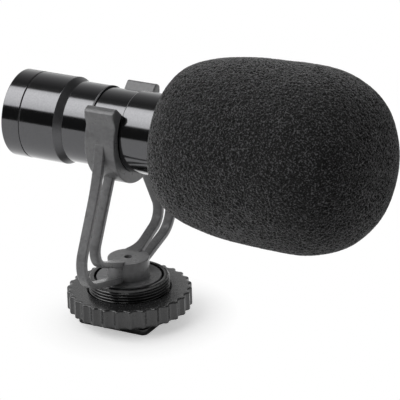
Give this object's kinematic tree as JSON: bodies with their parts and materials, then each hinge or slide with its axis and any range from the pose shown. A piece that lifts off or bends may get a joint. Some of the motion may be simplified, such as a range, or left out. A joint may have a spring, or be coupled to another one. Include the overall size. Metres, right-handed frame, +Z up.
{
  "type": "on camera microphone",
  "caption": "Small shotgun microphone for a camera: metal barrel in a sprung lyre mount, foam windscreen, cold-shoe foot with a clamp wheel.",
  "frame": {"origin": "centre of the foot's underside, on the plane that the foot stands on", "axes": "+X along the barrel, where the microphone points; +Z up, from the foot to the barrel; +Y to the left when looking along +X"},
  "size_m": [0.0939, 0.0438, 0.0687],
  "materials": {
    "barrel_gloss": "gloss black lacquer",
    "tube_black": "gloss black anodised",
    "foot_black": "satin black",
    "wheel_black": "fine matt black",
    "mount_grey": "moulded, finely spark-eroded",
    "foam": "open-cell foam",
    "plated": "nickel plate",
    "can_metal": "bright",
    "moulded_black": "moulded",
    "board": "solder mask",
    "rubber_black": "matt",
    "cloth": "fine acoustic cloth",
    "wire_red": "insulation",
    "wire_white": "insulation"
  },
  "bodies": {
    "mount": {"shoe_foot": "foot_black", "threaded_collar": "foot_black", "hub_screw": "plated", "lyre_mount": "mount_grey"},
    "washer": {"clamp_washer": "moulded_black"},
    "wheel": {"clamp_wheel": "wheel_black"},
    "barrel": {"rear_cap": "barrel_gloss", "housing": "barrel_gloss", "front_tube": "tube_black", "tube_liner": "cloth", "front_mesh": "can_metal", "tip_ring": "tube_black", "capsule": "can_metal", "capsule_boot": "rubber_black", "jack_body": "moulded_black", "jack_bush": "plated", "jack_nut": "plated", "jack_pin_tip": "plated", "jack_pin_sleeve": "plated", "circuit_board": "board", "capacitor": "moulded_black", "signal_wire": "wire_red", "ground_wire": "wire_white"},
    "windscreen": {"foam_windscreen": "foam"}
  },
  "joints": [
    {"name": "wheel_travel", "type": "slide", "parent": "mount", "child": "washer", "axis": [0, 0, 1], "range_m": [-0.0003, 0.0018]},
    {"name": "wheel_turn", "type": "hinge", "parent": "washer", "child": "wheel", "pos_m": [0, 0, 0.005], "axis": [0, 0, 1], "range_deg": [-144, 864]},
    {"name": "barrel_turn", "type": "hinge", "parent": "mount", "child": "barrel", "pos_m": [0, 0, 0.04733], "axis": [1, 0, 0], "continuous": true},
    {"name": "windscreen_pull", "type": "slide", "parent": "barrel", "child": "windscreen", "axis": [1, 0, 0], "range_m": [0, 0.038]}
  ],
  "couplings": [
    {"joint": "wheel_travel", "follows": "wheel_turn", "m_per_rad": 0.00011937}
  ]
}
